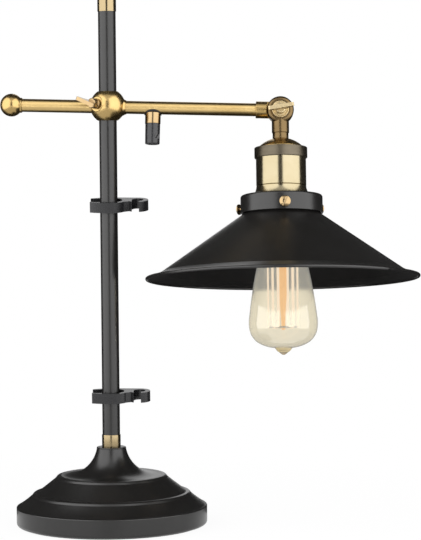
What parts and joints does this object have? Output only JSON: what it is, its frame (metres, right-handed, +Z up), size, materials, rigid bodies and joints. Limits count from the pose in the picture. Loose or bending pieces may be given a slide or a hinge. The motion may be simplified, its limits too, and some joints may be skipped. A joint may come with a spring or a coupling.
{
  "type": "table lamp",
  "caption": "Industrial pipe table lamp with a stepped round foot, a black pole, a clamped counterweighted brass arm, a tilting cone shade and a filament bulb.",
  "frame": {"origin": "centre of the foot's underside, on the table", "axes": "+Z up along the pole, +X from the pole towards the shade, -Y towards the viewer of the picture"},
  "size_m": [0.3896, 0.2528, 0.4932],
  "materials": {
    "black_coat": "satin powder coat",
    "felt": "pressed felt",
    "cast_iron": "rough cast",
    "zinc_steel": "zinc plated",
    "antique_brass": "brushed, antiqued and lacquered",
    "dark_brass": "brushed and darkly antiqued",
    "brushed_ring": "brushed grey-brown",
    "bright_brass": "polished",
    "liner_plastic": "matt",
    "grip_plastic": "fine satin",
    "clip_plastic": "fine satin",
    "porcelain": "unglazed white",
    "black_glass": "gloss",
    "amber_glass": "clear, pale amber",
    "clear_glass": "clear",
    "filament_wire": "glowing wire",
    "support_wire": "drawn wire"
  },
  "bodies": {
    "stand": {"base_pad": "felt", "base_shell": "black_coat", "base_weight": "cast_iron", "base_washer": "zinc_steel", "base_bolt": "zinc_steel", "pole_plug": "zinc_steel", "pole_tube": "black_coat", "pole_ferrule": "bright_brass", "pole_cap": "bright_brass"},
    "carriage": {"clamp_liner": "liner_plastic"},
    "arm": {"clamp_ball": "antique_brass", "counter_rod": "antique_brass", "counter_knob": "antique_brass", "arm_tube": "antique_brass", "outlet_saddle": "grip_plastic", "outlet_collar": "bright_brass", "outlet_grip": "grip_plastic", "outlet_screw": "grip_plastic", "arm_knuckle": "dark_brass", "friction_washer": "liner_plastic"},
    "clamp_wing_screw": {"clamp_screw": "bright_brass"},
    "hinge_wing_screw": {"hinge_screw": "bright_brass"},
    "head": {"head_knuckle": "dark_brass", "neck_nipple": "zinc_steel", "neck_nut": "antique_brass", "nipple_locknut": "zinc_steel", "socket_cap": "antique_brass", "socket_ring": "brushed_ring", "socket_cup": "antique_brass", "socket_insert": "porcelain", "contact_shell": "bright_brass", "contact_tongue": "bright_brass", "shade_fitter": "black_coat", "fitter_nut": "porcelain", "fitter_screws": "bright_brass", "shade": "black_coat"},
    "bulb": {"bulb_contact": "bright_brass", "bulb_insulator": "black_glass", "bulb_cap": "bright_brass", "bulb_glass": "amber_glass", "bulb_stem": "clear_glass", "filament": "filament_wire", "filament_support": "support_wire"},
    "upper_cord_clip": {"upper_clip": "clip_plastic"},
    "lower_cord_clip": {"lower_clip": "clip_plastic"}
  },
  "joints": [
    {"name": "clamp_slide", "type": "slide", "parent": "stand", "child": "carriage", "axis": [0, 0, 1], "range_m": [-0.045, 0.055]},
    {"name": "clamp_swivel", "type": "hinge", "parent": "carriage", "child": "arm", "pos_m": [0, 0, 0.3925], "axis": [0, 0, 1], "continuous": true},
    {"name": "clamp_screw_turn", "type": "hinge", "parent": "arm", "child": "clamp_wing_screw", "pos_m": [-0.00997, -0.01188, 0.39503], "axis": [-0.6393, -0.7618, 0.1045], "continuous": true},
    {"name": "hinge_screw_turn", "type": "hinge", "parent": "arm", "child": "hinge_wing_screw", "pos_m": [0.16114, 0, 0.388], "axis": [0.0036, -0.9914, 0.1305], "continuous": true},
    {"name": "head_tilt", "type": "hinge", "parent": "arm", "child": "head", "pos_m": [0.16114, 0, 0.388], "axis": [-0.0036, 0.9914, -0.1305], "range_deg": [-90, 7]},
    {"name": "bulb_turn", "type": "hinge", "parent": "head", "child": "bulb", "pos_m": [0.16139, -0.01161, 0.29976], "axis": [-0.0029, 0.1305, 0.9914], "continuous": true},
    {"name": "upper_clip_slide", "type": "slide", "parent": "stand", "child": "upper_cord_clip", "axis": [0, 0, 1], "range_m": [-0.045, 0.02]},
    {"name": "lower_clip_slide", "type": "slide", "parent": "stand", "child": "lower_cord_clip", "axis": [0, 0, 1], "range_m": [-0.025, 0.07]}
  ]
}
